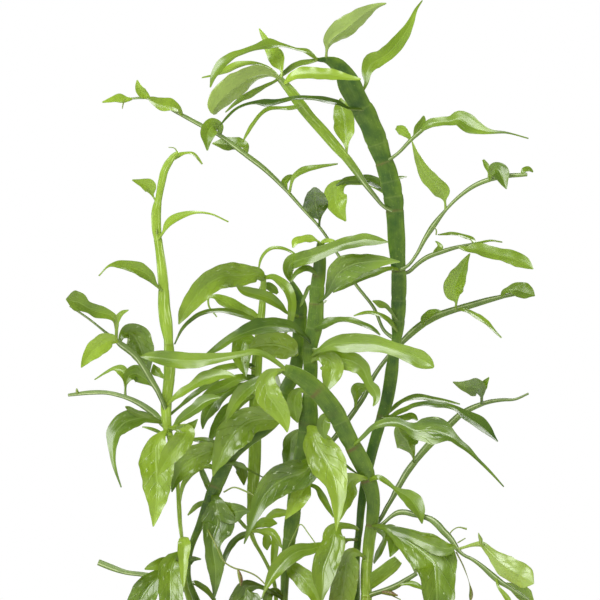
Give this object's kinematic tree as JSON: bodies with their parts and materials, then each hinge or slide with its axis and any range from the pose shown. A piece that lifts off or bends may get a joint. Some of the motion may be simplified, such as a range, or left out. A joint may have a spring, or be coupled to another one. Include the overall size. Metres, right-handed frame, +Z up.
{
  "type": "potted ribbon plant",
  "caption": "Leafy plant of flat jointed stems with arrow-shaped leaves, rooted in soil in a plain round clay pot.",
  "frame": {"origin": "centre of the pot's foot, on the surface that the pot stands on", "axes": "+Z up, along the pot's axis; the front of the plant faces -Y, and +X is to its right as seen from the front"},
  "size_m": [0.3064, 0.1796, 0.5433],
  "materials": {
    "terracotta": "matte",
    "soil": "matte",
    "foliage_deep": "satin",
    "foliage_light": "satin"
  },
  "bodies": {
    "root": {"pot": "terracotta", "soil": "soil", "stem_tall": "foliage_deep", "stem_arching": "foliage_deep", "stem_middle": "foliage_deep", "stem_sweeping": "foliage_deep", "stem_left": "foliage_light", "stem_back": "foliage_light"}
  },
  "joints": []
}
